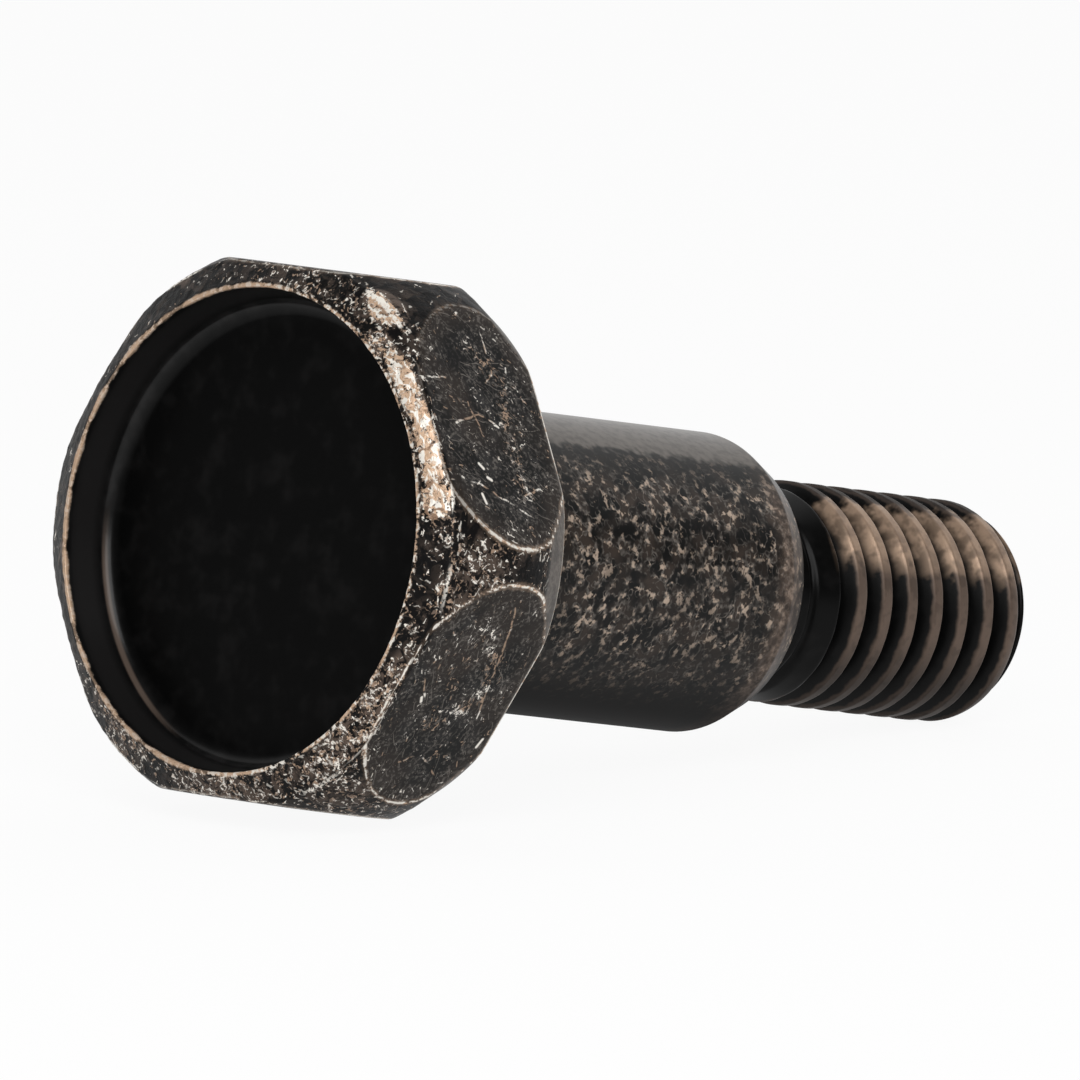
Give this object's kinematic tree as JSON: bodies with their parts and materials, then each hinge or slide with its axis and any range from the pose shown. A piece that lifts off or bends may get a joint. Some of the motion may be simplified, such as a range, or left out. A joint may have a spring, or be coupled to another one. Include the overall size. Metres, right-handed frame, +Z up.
{
  "type": "hex-head shoulder bolt",
  "caption": "Dished hex-head shoulder bolt with a plain shoulder, a neck and a coarse right-hand thread, in worn black finish, lying at rest.",
  "frame": {"origin": "centre of the head's bearing face, on the bolt's axis", "axes": "+Z up as the bolt lies at rest, +X along the shank from the head to the thread as seen from above; the axis slopes 10.34 degrees down towards the thread"},
  "size_m": [0.0457, 0.0248, 0.0232],
  "materials": {
    "worn_black_steel": "black oxide on forged and turned steel, rubbed to a pale copper brown on the rims, crests and edges"
  },
  "bodies": {
    "root": {"shoulder_bolt": "worn_black_steel"}
  },
  "joints": []
}
